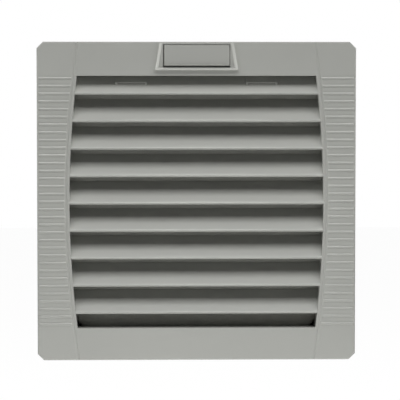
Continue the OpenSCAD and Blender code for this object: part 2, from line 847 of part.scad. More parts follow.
// Motor

bearing_in = 1;
cap_room = 2;
stack_front = (tube_front + base_front - stack_l) / 2;
stack_back = stack_front + stack_l;
yoke_t = 4.5;
shoe_t = 3.6;
slot_w = 4;
yoke_r = tube_r + yoke_t;
shoe_r = stator_d / 2 - shoe_t;

module ball_bearing(y0) ring(shaft_d / 2 + running / 2, bearing_d / 2, y0, y0 + bearing_w);

module front_bearing() color(steel) ball_bearing(tube_front + bearing_in);
module rear_bearing() color(steel) ball_bearing(base_back - bearing_in - bearing_w - cap_room);

// Four salient poles with shoes on a yoke
module stator_core() color(steel) slab(stack_front, stack_back) difference() {
    circle(d = stator_d);
    circle(r = tube_r + seat);
    difference() {
        circle(r = shoe_r);
        circle(r = yoke_r);
        square([stator_d, pole_w], center = true);
        square([pole_w, stator_d], center = true);
    }
    for (a = [45, 135]) rotate(a) difference() {
        square([stator_d + past, slot_w], center = true);
        circle(r = yoke_r);
    }
}

module stator_coils() color(copper) {
    head = 4;
    half = pole_w / 2 + winding;
    inner = max(half, sqrt(yoke_r * yoke_r - pole_w * pole_w / 4)) + pass_gap;
    length = sqrt(shoe_r * shoe_r - half * half) - pass_gap - inner;
    for (a = [0 : 90 : 270]) rotate([0, a, 0])
        translate([inner, 0, 0]) difference() {
            translate([0, stack_front - head, -half])
                cube([length, stack_l + 2 * head, 2 * half]);
            translate([-past, stack_front - seat, -pole_w / 2 - seat])
                cube([length + 2 * past, stack_l + 2 * seat, pole_w + 2 * seat]);
        }
}

cap_inset = 2;
cap_t = 2.2;
cap_bevel = 1;

// A shallow lid over the rear bearing
module motor_cap() color(cast_grey) turned() {
    cap_r = base_r - cap_inset;
    polygon([[0, base_back], [cap_r, base_back], [cap_r, base_back + cap_t - cap_bevel],
             [cap_r - cap_bevel, base_back + cap_t], [0, base_back + cap_t]]);
}

cage_r = stator_d / 2 + air_gap;

module rotor_cup() color(steel) turned() {
    r = rotor_d / 2;
    translate([0, cup_front]) square([r, rotor_wall]);
    translate([r - rotor_wall, cup_front]) square([rotor_wall, rotor_l]);
    translate([shaft_d / 2 + seat, cup_front]) square([hub_wall, rotor_wall + hub_l]);
}

cage_over = 1;
shaft_inset = 0.6;
circlip_w = 2;
circlip_t = 0.8;

module rotor_cage() color(steel)
    ring(cage_r, rotor_d / 2 - rotor_wall - seat, stack_front - cage_over, stack_back + cage_over);

module rotor_shaft() color(steel) rod_y(shaft_d, cup_front + rotor_wall, base_back - shaft_inset);

module shaft_circlip() color(steel) {
    y0 = base_back - bearing_in - cap_room + pass_gap;
    ring(shaft_d / 2 + seat, shaft_d / 2 + circlip_w, y0, y0 + circlip_t);
}

// Impeller

// The blades' roots clear the cup by what their flat facets need
blade_seat = 0.06;
blade_root = rotor_d / 2 + blade_seat;
blade_tip = duct_d / 2 - tip_gap;
blade_mid = (cup_front + cup_back) / 2;
span_steps = 5;
chord_steps = 6;

// A point of the blade: share of the span, share of the chord, and the side of the skin
function blade_point(u, v, side) =
    let (r = blade_root + u * (blade_tip - blade_root),
         chord = root_chord + u * (tip_chord - root_chord),
         lean = root_stagger + u * (tip_stagger - root_stagger),
         s = v - 0.5,
         lift = camber * chord * (1 - 4 * s * s) + side * blade_t / 2 * (1 - 2.4 * s * s),
         across = s * chord * sin(lean) + lift * cos(lean),
         along = s * chord * cos(lean) - lift * sin(lean),
         a = across / r * 180 / PI)
    [r * cos(a), blade_mid + along, r * sin(a)];

// Both skins of one blade, closed along its edges
module blade() {
    row = chord_steps + 1;
    skin = row * (span_steps + 1);
    points = [for (side = [1, -1], i = [0 : span_steps], j = [0 : chord_steps])
        blade_point(i / span_steps, j / chord_steps, side)];
    skins = [for (i = [0 : span_steps - 1], j = [0 : chord_steps - 1])
        let (a = i * row + j)
        each [[a, a + 1, a + row], [a + 1, a + row + 1, a + row],
              [skin + a, skin + a + row, skin + a + 1],
              [skin + a + 1, skin + a + row, skin + a + row + 1]]];
    ends = [for (j = [0 : chord_steps - 1])
        let (b = span_steps * row + j)
        each [[j, skin + j, j + 1], [j + 1, skin + j, skin + j + 1],
              [b, b + 1, skin + b], [b + 1, skin + b + 1, skin + b]]];
    edges = [for (i = [0 : span_steps - 1])
        let (a = i * row, b = a + chord_steps)
        each [[a, a + row, skin + a], [a + row, skin + a + row, skin + a],
              [b, skin + b, b + row], [b + row, skin + b, skin + b + row]]];
    polyhedron(points, concat(skins, ends, edges), convexity = 4);
}

// Sheet blades that are welded to the rotor cup
module impeller() color(blade_black)
    for (k = [0 : blade_count - 1]) rotate([0, k * 360 / blade_count, 0]) blade();

// Finger guard

leg_y = tab_back + leg_wire / 2;
ring_y = leg_y + leg_wire / 2 + ring_wire / 2 - sink;
head_seat = tab_back + leg_wire;
eyelet_r = (hole_d + leg_wire) / 2;

// Wire rings on four legs that end in eyelets over the bracket's tabs
module finger_guard() color(steel) {
    for (k = [0 : ring_count - 1]) turned()
        translate([ring_first + k * ring_pitch, ring_y]) circle(d = ring_wire, $fn = 24);
    at_fan_angles() translate([0, leg_y, 0])
        rod_x(leg_wire, ring_first - ring_wire, hole_pcd / 2 - eyelet_r);
    at_fan_holes() turned() translate([eyelet_r, leg_y]) circle(d = leg_wire, $fn = 24);
}

// Fasteners

// The cross slot of the screws: length, width and depth
cross_l = 4.2;
cross_w = 1.1;
cross_depth = 1.6;
head_taper = 1.5;

module pan_head(y0) translate([0, y0, 0]) rotate([-90, 0, 0]) difference() {
    cylinder(d1 = head_d, d2 = head_d - head_taper, h = head_h);
    translate([0, 0, head_h]) for (a = [0, 90]) rotate(a)
        cube([cross_l, cross_w, 2 * cross_depth], center = true);
}

module fan_screws() color(steel) at_fan_holes() {
    seat_y = fan_front + end_flange_t;
    pan_head(seat_y);
    rod_y(screw_d, housing_depth - housing_wall - boss_l, seat_y);
}

// How far a guard screw stands out of its nut
screw_over = 2.4;

module guard_screws() color(steel) at_fan_holes() {
    pan_head(head_seat);
    rod_y(screw_d, fan_back - end_flange_t - nut_h - screw_over, head_seat);
}

module guard_nuts() color(steel) at_fan_holes() difference() {
    rotate([0, 30, 0]) translate([0, fan_back - end_flange_t - nut_h, 0]) rotate([-90, 0, 0])
        cylinder(d = nut_flat / cos(30), h = nut_h, $fn = 6);
    rod_y(screw_d + 2 * seat, fan_back - end_flange_t - nut_h - past, fan_back);
}

// Terminals

terminal_z = -(fan_flat / 2 + spigot_w / 2) / 2;
terminal_back = housing_depth + terminal_depth;
// Depth of the screw shafts, the wall under them, and the screws' head height and slot
screw_shaft = 6;
clamp_wall = 0.7;
clamp_head = 2.4;
clamp_slot = 1;
clamp_room = 0.5;
pole_lip = 3;
screw_seat = terminal_back - screw_shaft;
entry_y = screw_seat - clamp_wall - wire_entry_d / 2;

module at_poles() for (k = [0 : pole_count - 1])
    translate([(k - (pole_count - 1) / 2) * terminal_pitch, 0, terminal_z]) children();

// Screw terminals side by side, each with a screw shaft and a wire entry from below
module terminal_block() color(terminal_grey) at_poles() difference() {
    bar(seat - terminal_pitch / 2, terminal_pitch / 2 - seat)
        translate([housing_depth, -terminal_h / 2])
            polygon([[0, 0], [terminal_depth - pole_lip, 0], [terminal_depth, pole_lip],
                     [terminal_depth, terminal_h - pole_lip], [terminal_depth - pole_lip, terminal_h],
                     [0, terminal_h]]);
    rod_y(terminal_screw_d + 2 * clamp_room, screw_seat, terminal_back + past);
    translate([0, entry_y, -terminal_h / 2 - past])
        cylinder(d = wire_entry_d, h = wire_entry_l + past);
}

module terminal_screws() color(steel) at_poles() difference() {
    rod_y(terminal_screw_d, screw_seat, screw_seat + clamp_head);
    translate([0, screw_seat + clamp_head, 0])
        cube([terminal_screw_d + past, 2 * clamp_slot, clamp_slot], center = true);
}

earth_inset = 6;
earth_x = earth_inset - fan_d / 2;

module earth_screw() color(steel) translate([earth_x, 0, 0]) {
    pan_head(fan_back);
    rod_y(screw_d, fan_back - end_flange_t, fan_back);
}

front_cover();
cover_latch();
hinge_pins();
filter_mat();
filter_grid();
housing();
flange_gasket();
clip_top_left();
clip_top_right();
clip_bottom_left();
clip_bottom_right();
clip_pins();
fan_frame();
motor_bracket();
stator_core();
stator_coils();
front_bearing();
rear_bearing();
motor_cap();
rotor_cup();
rotor_cage();
rotor_shaft();
shaft_circlip();
impeller();
finger_guard();
fan_screws();
guard_screws();
guard_nuts();
terminal_block();
terminal_screws();
earth_screw();
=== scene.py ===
"""Finishes, soft pieces, fan blades and studio of the cabinet filter fan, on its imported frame."""

import math

import bmesh
import bpy
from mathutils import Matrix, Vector, noise


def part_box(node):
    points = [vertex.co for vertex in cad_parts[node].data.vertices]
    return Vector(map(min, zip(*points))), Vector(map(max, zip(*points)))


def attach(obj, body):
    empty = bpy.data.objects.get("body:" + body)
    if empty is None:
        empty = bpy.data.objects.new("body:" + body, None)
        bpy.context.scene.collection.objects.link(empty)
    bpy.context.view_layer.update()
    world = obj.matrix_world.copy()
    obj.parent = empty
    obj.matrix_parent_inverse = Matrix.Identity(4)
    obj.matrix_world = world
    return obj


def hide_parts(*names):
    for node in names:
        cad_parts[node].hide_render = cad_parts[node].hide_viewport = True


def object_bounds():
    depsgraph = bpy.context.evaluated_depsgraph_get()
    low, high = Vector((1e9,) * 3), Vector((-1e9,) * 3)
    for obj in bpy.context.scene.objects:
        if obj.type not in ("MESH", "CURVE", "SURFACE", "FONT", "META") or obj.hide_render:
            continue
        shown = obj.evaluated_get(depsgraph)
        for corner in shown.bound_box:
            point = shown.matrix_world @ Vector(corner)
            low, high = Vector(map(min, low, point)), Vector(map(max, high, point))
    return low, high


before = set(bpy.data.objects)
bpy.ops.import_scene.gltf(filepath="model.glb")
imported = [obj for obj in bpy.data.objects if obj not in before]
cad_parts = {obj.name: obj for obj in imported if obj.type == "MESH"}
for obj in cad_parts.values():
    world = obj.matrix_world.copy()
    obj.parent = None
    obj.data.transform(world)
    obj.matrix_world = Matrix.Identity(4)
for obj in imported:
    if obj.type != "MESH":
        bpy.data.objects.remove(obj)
CAD_LOW, CAD_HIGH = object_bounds()

MM = 0.001
TURN = 2 * math.pi
WHITE = (1.0, 1.0, 1.0, 1.0)
# Lays a shape that is made upright along the fan's axis
TIPPED = (math.radians(90), 0.0, 0.0)

bl_info = {
    "name": "Cabinet filter fan",
    "version": (1, 0, 0),
    "blender": (4, 5, 0),
    "location": "View3D > Sidebar > Filter fan",
    "description": "Finishes, soft pieces, fan blades and studio of a cabinet filter fan",
    "category": "Object",
}


def colour_setting(label, words, default):
    return bpy.props.FloatVectorProperty(
        name=label, description=words, default=default, subtype="COLOR", size=3, min=0.0, max=1.0)


def length_setting(label, words, default):
    return bpy.props.FloatProperty(
        name=label, description=words, default=default, unit="LENGTH", min=0.0, precision=5)


def angle_setting(label, words, degrees):
    return bpy.props.FloatProperty(
        name=label, description=words, default=math.radians(degrees), subtype="ANGLE")


def count_setting(label, words, default):
    return bpy.props.IntProperty(name=label, description=words, default=default, min=1)


def amount_setting(label, words, default):
    return bpy.props.FloatProperty(name=label, description=words, default=default, min=0.0)


class FilterFanColours(bpy.types.PropertyGroup):
    """Colours of the filter fan's finishes."""

    cover: colour_setting("Cover", "Light grey of the louvred cover and its latch", (0.384, 0.389, 0.364))
    housing: colour_setting("Housing", "Light grey of the housing and the support grid", (0.36, 0.365, 0.34))
    clips: colour_setting("Clips", "Black of the corner clips", (0.014, 0.014, 0.015))
    fleece: colour_setting("Fleece", "Off-white of the filter mat", (0.38, 0.38, 0.35))
    foam: colour_setting("Foam", "Black of the sealing strip", (0.012, 0.012, 0.012))
    casting: colour_setting("Casting", "Bare aluminium of the fan frame", (0.60, 0.605, 0.61))
    zinc: colour_setting("Zinc", "Plated steel of the screws, nuts and pins", (0.56, 0.57, 0.58))
    wire: colour_setting("Wire", "Chromed steel of the finger guard", (0.54, 0.545, 0.55))
    paint: colour_setting("Paint", "Black paint of the rotor cup and the blades", (0.016, 0.016, 0.017))
    copper: colour_setting("Copper", "Lacquered copper of the coils", (0.62, 0.25, 0.10))
    sheets: colour_setting("Sheets", "Steel sheets of the stator core", (0.30, 0.30, 0.31))
    terminals: colour_setting("Terminals", "Pale plastic of the terminal block", (0.66, 0.66, 0.62))
    brass: colour_setting("Brass", "Brass of the terminal screws", (0.72, 0.52, 0.22))


class FilterFanSizes(bpy.types.PropertyGroup):
    """Sizes of the pieces that are made here."""

    loft: length_setting("Loft", "How far the fleece swells out of its cut shape", 1.3 * MM)
    trim: length_setting("Trim", "How much smaller the fleece is cut than its space, on each side", 0.2 * MM)
    fleece_cell: length_setting("Fleece cell", "Cell of the even mesh that is blown up", 3.0 * MM)
    ruffle: length_setting("Ruffle", "Height of the fleece's soft lumps", 0.35 * MM)
    fibre_count: count_setting("Fibres", "Loose fibres on the fleece's front", 3600)
    fibre_length: length_setting("Fibre length", "Length of a loose fibre", 3.2 * MM)
    fibre_radius: length_setting("Fibre radius", "Radius of a loose fibre", 0.05 * MM)
    strip_width: length_setting("Strip width", "Width of the sealing strip", 4.4 * MM)
    strip_round: length_setting("Strip rounding", "Rounding of the sealing strip's edges", 0.9 * MM)
    strip_joint: length_setting("Strip joint", "Gap where the strip's two ends meet", 0.25 * MM)
    blade_count: count_setting("Blades", "Number of fan blades", 7)
    blade_root: length_setting("Blade root", "Radius at which the blades meet the rotor cup", 33.06 * MM)
    blade_tip: length_setting("Blade tip", "Radius of the blades' tips", 70.3 * MM)
    blade_middle: length_setting("Blade middle", "Depth of the blades' middle behind the panel", 54.5 * MM)
    blade_sheet: length_setting("Blade sheet", "Thickness of a blade", 1.6 * MM)
    root_chord: length_setting("Root chord", "Width of a blade at its root", 30 * MM)
    tip_chord: length_setting("Tip chord", "Width of a blade at its tip", 40 * MM)
    root_lean: angle_setting("Root lean", "Angle of the root from the fan's axis", 36)
    tip_lean: angle_setting("Tip lean", "Angle of the tip from the fan's axis", 62)
    camber: amount_setting("Camber", "Hollow of a blade as a share of its width", 0.08)
    weld_radius: length_setting("Weld radius", "Radius of the weld seams at the blade roots", 0.75 * MM)
    ring_count: count_setting("Rings", "Rings of the finger guard", 7)
    ring_first: length_setting("First ring", "Radius of the smallest ring", 12 * MM)
    ring_last: length_setting("Last ring", "Radius of the largest ring", 74 * MM)
    nugget: length_setting("Nugget", "Radius of a spot weld on the guard", 1.75 * MM)
    arm_angle: angle_setting("Arm angle", "Angle of the guard's legs from the horizontal", 25)
    screw_circle: length_setting("Screw circle", "Radius on which the guard screws sit", 81 * MM)
    thread_radius: length_setting("Thread radius", "Radius of a guard screw's thread", 1.94 * MM)
    thread_pitch: length_setting("Thread pitch", "Rise of a screw thread in one turn", 0.7 * MM)
    mark_radius: length_setting("Mark radius", "Radius of a mould's ejector mark", 2.2 * MM)


class FilterFanStage(bpy.types.PropertyGroup):
    """Lamps, floor and camera of the studio."""

    key: amount_setting("Key lamp", "Power of the wide lamp over the camera, in watts", 77.0)
    key_height: angle_setting("Key height", "Angle of the key lamp over the horizontal", 60)
    key_distance: length_setting("Key distance", "Distance of the key lamp from the object", 2.5)
    key_width: length_setting("Key width", "Width of the key lamp", 5.0)
    key_depth: length_setting("Key depth", "Extent of the key lamp across its width", 1.25)
    sides: amount_setting("Side lamps", "Power of each of the two grazing side lamps, in watts", 88.0)
    level_left: amount_setting("Left level lamp", "Power of the left lamp at the latch, in watts", 80.0)
    level_right: amount_setting("Right level lamp", "Power of the right lamp at the latch, in watts", 105.0)
    back: amount_setting("Back lamps", "Power of each of the two lamps behind the object, in watts", 12.0)
    sky: amount_setting("Sky", "Strength of the even light from all round", 0.05)
    fill: amount_setting("Fill lamp", "Power of the low lamp in front, in watts", 0.9)
    floor_drop: length_setting("Floor drop", "Distance of the floor below the object", 0.30)
    focal_length: amount_setting("Focal length", "Camera lens in millimetres", 179.95)
    camera_place: bpy.props.FloatVectorProperty(
        name="Camera place", description="Where the camera stands", subtype="XYZ", unit="LENGTH",
        default=(-0.0413, -1.600, 0.0855))
    camera_down: angle_setting("Camera down", "How far the camera looks down", 3.056)
    camera_right: angle_setting("Camera right", "How far the camera looks to the right", 1.594)


class Socket:
    """A node's output that takes part in sums, so that 1 - mask adds its own Math node."""

    def __init__(self, plan, link):
        self.plan = plan
        self.link = link

    def worked(self, operation, first, second):
        return self.plan.add("ShaderNodeMath", {"operation": operation}, {0: first, 1: second})

    def __add__(self, other):
        return self.worked("ADD", self, other)

    def __radd__(self, other):
        return self.worked("ADD", other, self)

    def __sub__(self, other):
        return self.worked("SUBTRACT", self, other)

    def __rsub__(self, other):
        return self.worked("SUBTRACT", other, self)

    def __mul__(self, other):
        return self.worked("MULTIPLY", self, other)

    def __rmul__(self, other):
        return self.worked("MULTIPLY", other, self)

    def __truediv__(self, other):
        return self.worked("DIVIDE", self, other)

    def __lt__(self, other):
        return self.worked("LESS_THAN", self, other)


class Plan:
    """Adds nodes to a tree: a node's settings first, then the values or links of its sockets."""

    def __init__(self, tree):
        self.tree = tree

    def fill(self, node, sockets):
        for key, value in sockets.items():
            if isinstance(value, Socket):
                self.tree.links.new(value.link, node.inputs[key])
            else:
                node.inputs[key].default_value = value

    def add(self, kind, settings=None, sockets=None, output=0):
        node = self.tree.nodes.new(kind)
        for name, value in (settings or {}).items():
            if name == "stops":
                set_stops(node.color_ramp, value)
            else:
                setattr(node, name, value)
        self.fill(node, sockets or {})
        return Socket(self, node.outputs[output]) if len(node.outputs) else None


def set_stops(ramp, stops):
    for spare in range(len(stops) - len(ramp.elements)):
        ramp.elements.new(1.0)
    for element, (place, value) in zip(ramp.elements, stops):
        element.position = place
        element.color = (value, value, value, 1.0)


class Finish(Plan):
    """A procedural material round one Principled shader, on the piece's Object coordinates."""

    def __init__(self, name):
        self.material = bpy.data.materials.new(name)
        self.material.use_nodes = True
        super().__init__(self.material.node_tree)
        self.shader = self.tree.nodes["Principled BSDF"]
        self.place = self.add("ShaderNodeTexCoord", output="Object")

    def stretched(self, scale, turn=(0.0, 0.0, 0.0)):
        return self.add("ShaderNodeMapping", None,
                        {"Vector": self.place, "Scale": scale, "Rotation": turn})

    def cloud(self, scale, detail=2.0, rough=0.5, place=None):
        return self.add("ShaderNodeTexNoise", None, {
            "Vector": place or self.place, "Scale": scale, "Detail": detail, "Roughness": rough})

    def ramp(self, value, *stops):
        return self.add("ShaderNodeValToRGB", {"stops": stops}, {"Fac": value})

    def mixed(self, amount, low, high):
        return self.add("ShaderNodeMix", {"data_type": "RGBA"}, {0: amount, 6: low, 7: high}, 2)

    def bump(self, height, depth, under=None):
        sockets = {"Height": height, "Distance": depth}
        if under:
            sockets["Normal"] = under
        return self.add("ShaderNodeBump", None, sockets)

    def dress(self, **sockets):
        self.fill(self.shader, {name.replace("_", " "): value for name, value in sockets.items()})
        return self.material


def shade(colour, amount):
    return tuple(min(1.0, part * amount) for part in colour) + (1.0,)


def moulded_plastic(name, colour, grain, roughness):
    """Injection-moulded plastic: spark-eroded grain, faint cloudy tone, uneven sheen."""
    grain_depth = 0.00003
    finish = Finish(name)
    fine = finish.cloud(grain, 3.0, 0.65)
    broad = finish.cloud(13.0, 3.0)
    return finish.dress(
        Base_Color=finish.mixed(0.75 * broad + 0.25 * fine, shade(colour, 0.955), shade(colour, 1.045)),
        Roughness=roughness - 0.06 + 0.12 * fine,
        Normal=finish.bump(fine, grain_depth))


def die_casting(name, colour):
    """Bare die-cast aluminium: cloudy skin, fine pits and a soft sheen."""
    finish = Finish(name)
    skin = finish.cloud(55.0, 4.0, 0.6)
    grain = finish.cloud(1500.0, 2.0)
    pits = finish.ramp(finish.cloud(420.0, 2.0), (0.30, 0.0), (0.42, 1.0))
    return finish.dress(
        Base_Color=finish.mixed(skin, shade(colour, 0.78), shade(colour, 1.06)),
        Roughness=0.38 + 0.22 * skin,
        Normal=finish.bump(pits, 0.00006, finish.bump(grain, 0.00003)),
        Metallic=0.92)


def plated_steel(name, colour, roughness):
    """Plated steel: faint streaks along the drawing direction and small stains."""
    finish = Finish(name)
    streaks = finish.cloud(90.0, 3.0, 0.6, finish.stretched((14.0, 1.0, 14.0)))
    stains = finish.cloud(160.0, 3.0)
    return finish.dress(
        Base_Color=finish.mixed(stains, shade(colour, 0.86), shade(colour, 1.07)),
        Roughness=roughness + 0.14 * streaks,
        Normal=finish.bump(streaks, 0.00001),
        Metallic=1.0)


def painted_steel(name, colour):
    """Black dipped paint on sheet steel: orange peel and dusty clouds."""
    finish = Finish(name)
    peel = finish.cloud(620.0, 2.0)
    dust = finish.cloud(38.0, 4.0, 0.6)
    settled = finish.ramp(dust, (0.42, 0.0), (0.78, 1.0))
    return finish.dress(
        Base_Color=finish.mixed(settled, shade(colour, 0.9), shade(colour, 2.0)),
        Roughness=0.34 + 0.2 * dust,
        Normal=finish.bump(peel, 0.00004))


def wound_copper(name, colour):
    """Lacquered winding wire: close rows of round wire with shifting tone."""
    finish = Finish(name)
    rows = finish.add("ShaderNodeTexWave", {"bands_direction": "Y", "wave_profile": "SIN"},
                      {"Vector": finish.place, "Scale": 620.0, "Distortion": 0.6, "Detail": 1.0}, "Fac")
    tone = finish.cloud(240.0, 2.0)
    return finish.dress(
        Base_Color=finish.mixed(0.6 * rows + 0.4 * tone, shade(colour, 0.5), shade(colour, 1.1)),
        Roughness=0.26 + 0.16 * tone,
        Normal=finish.bump(rows, 0.00012),
        Metallic=0.85)


def stacked_sheets(name, colour):
    """A core of thin steel sheets: fine dark joints along the fan's axis."""
    finish = Finish(name)
    joints = finish.add("ShaderNodeTexWave", {"bands_direction": "Y", "wave_profile": "SAW"},
                        {"Vector": finish.place, "Scale": 630.0}, "Fac")
    tone = finish.cloud(120.0, 3.0)
    return finish.dress(
        Base_Color=finish.mixed(0.7 * joints + 0.3 * tone, shade(colour, 0.55), shade(colour, 1.1)),
        Roughness=0.42 + 0.15 * tone,
        Normal=finish.bump(joints, 0.00006),
        Metallic=0.85)


def cut_foam(name, colour):
    """Closed-cell foam rubber: small cells and a matt skin."""
    finish = Finish(name)
    cells = finish.add("ShaderNodeTexVoronoi", {"feature": "F1"},
                       {"Vector": finish.place, "Scale": 1500.0}, "Distance")
    tone = finish.cloud(90.0, 3.0)
    return finish.dress(
        Base_Color=finish.mixed(0.5 * cells + 0.5 * tone, shade(colour, 0.7), shade(colour, 2.4)),
        Roughness=0.84 + 0.12 * tone,
        Normal=finish.bump(cells, 0.0002))


def needled_fleece(name, colour):
    """Needled polyester fleece: crossing strands, soft clumps and a matt, fuzzy skin."""
    finish = Finish(name)
    along = finish.cloud(260.0, 3.0, 0.6, finish.stretched((1.0, 1.0, 7.0), (0.0, 0.5, 0.0)))
    across = finish.cloud(260.0, 3.0, 0.6, finish.stretched((7.0, 1.0, 1.0), (0.0, 0.3, 0.0)))
    clumps = finish.cloud(60.0, 3.0)
    strands = 0.5 * along + 0.5 * across
    return finish.dress(
        Base_Color=finish.mixed(0.6 * strands + 0.4 * clumps, shade(colour, 0.72), shade(colour, 1.2)),
        Roughness=0.88 + 0.1 * strands,
        Normal=finish.bump(strands, 0.0005))


def finished(material, *nodes):
    """Gives the finish to the frame's own pieces."""
    for name in nodes:
        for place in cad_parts[name].material_slots:
            place.material = material


def placed(name, mesh):
    """A new piece at the origin with this mesh."""
    piece = bpy.data.objects.new(name, mesh)
    bpy.context.scene.collection.objects.link(piece)
    return piece


def helper_mesh(name, points, edges=(), faces=()):
    mesh = bpy.data.meshes.new(name)
    mesh.from_pydata(points, edges, faces)
    mesh.update()
    return placed(name, mesh)


def plain_mesh(piece):
    """The piece's mesh with its modifiers worked in."""
    graph = bpy.context.evaluated_depsgraph_get()
    return bpy.data.meshes.new_from_object(piece.evaluated_get(graph))


def smooth(mesh, degrees):
    for face in mesh.polygons:
        face.use_smooth = True
    mesh.set_sharp_from_angle(angle=math.radians(degrees))


class Growth(Plan):
    """A geometry tree with named sizes, which turns a helper into one plain, finished mesh."""

    def __init__(self, name, **sizes):
        super().__init__(bpy.data.node_groups.new(name, "GeometryNodeTree"))
        face = self.tree.interface
        face.new_socket("Geometry", in_out="INPUT", socket_type="NodeSocketGeometry")
        self.sizes = sizes
        self.keys = {}
        for label, value in sizes.items():
            kind = "NodeSocketInt" if isinstance(value, int) else "NodeSocketFloat"
            self.keys[label] = face.new_socket(label, in_out="INPUT", socket_type=kind).identifier
        face.new_socket("Geometry", in_out="OUTPUT", socket_type="NodeSocketGeometry")
        start = self.tree.nodes.new("NodeGroupInput")
        self.base = Socket(self, start.outputs["Geometry"])
        self.size = {label: Socket(self, start.outputs[label]) for label in sizes}

    def joined(self, x=0.0, y=0.0, z=0.0):
        return self.add("ShaderNodeCombineXYZ", None, {"X": x, "Y": y, "Z": z})

    def chance(self, low, high, seed):
        return self.add("FunctionNodeRandomValue", {"data_type": "FLOAT_VECTOR"},
                        {0: low, 1: high, "Seed": seed})

    def set_on(self, points, shape, turn, scale=(1.0, 1.0, 1.0)):
        """Copies of a shape, one on each point."""
        return self.add("GeometryNodeInstanceOnPoints", None,
                        {"Points": points, "Instance": shape, "Rotation": turn, "Scale": scale})

    def turned_round(self, shape, count):
        """Copies of a shape, evenly spread round the fan's axis."""
        spots = self.add("GeometryNodeMeshLine", None, {"Count": count, "Offset": (0.0, 0.0, 0.0)})
        step = self.add("GeometryNodeInputIndex") * TURN / count
        return self.set_on(spots, shape, self.joined(y=step))

    def rounded(self, curve, count, radius):
        """The curve with each of its corners cut into this many short steps."""
        return self.add("GeometryNodeFilletCurve", {"mode": "POLY"},
                        {"Curve": curve, "Count": count, "Radius": radius, "Limit Radius": True})

    def swept(self, curve, profile):
        return self.add("GeometryNodeCurveToMesh", None,
                        {"Curve": curve, "Profile Curve": profile, "Fill Caps": True})

    def tube(self, curve, radius, sides):
        profile = self.add("GeometryNodeCurvePrimitiveCircle", None, {"Resolution": sides, "Radius": radius})
        return self.swept(curve, profile)

    def grown(self, helper, shape, material):
        real = self.add("GeometryNodeRealizeInstances", None, {"Geometry": shape})
        done = self.add("GeometryNodeSetMaterial", None, {"Geometry": real, "Material": material})
        self.add("NodeGroupOutput", None, {"Geometry": done})
        modifier = helper.modifiers.new(self.tree.name, "NODES")
        modifier.node_group = self.tree
        for label, key in self.keys.items():
            modifier[key] = self.sizes[label]
        mesh = plain_mesh(helper)
        helper.modifiers.remove(modifier)
        bpy.data.objects.remove(helper)
        if not mesh.polygons:
            raise RuntimeError(self.tree.name + " grew nothing")
        return placed(self.tree.name, mesh)


def colours():
    return bpy.context.scene.filter_fan_colours


def sizes():
    return bpy.context.scene.filter_fan_sizes


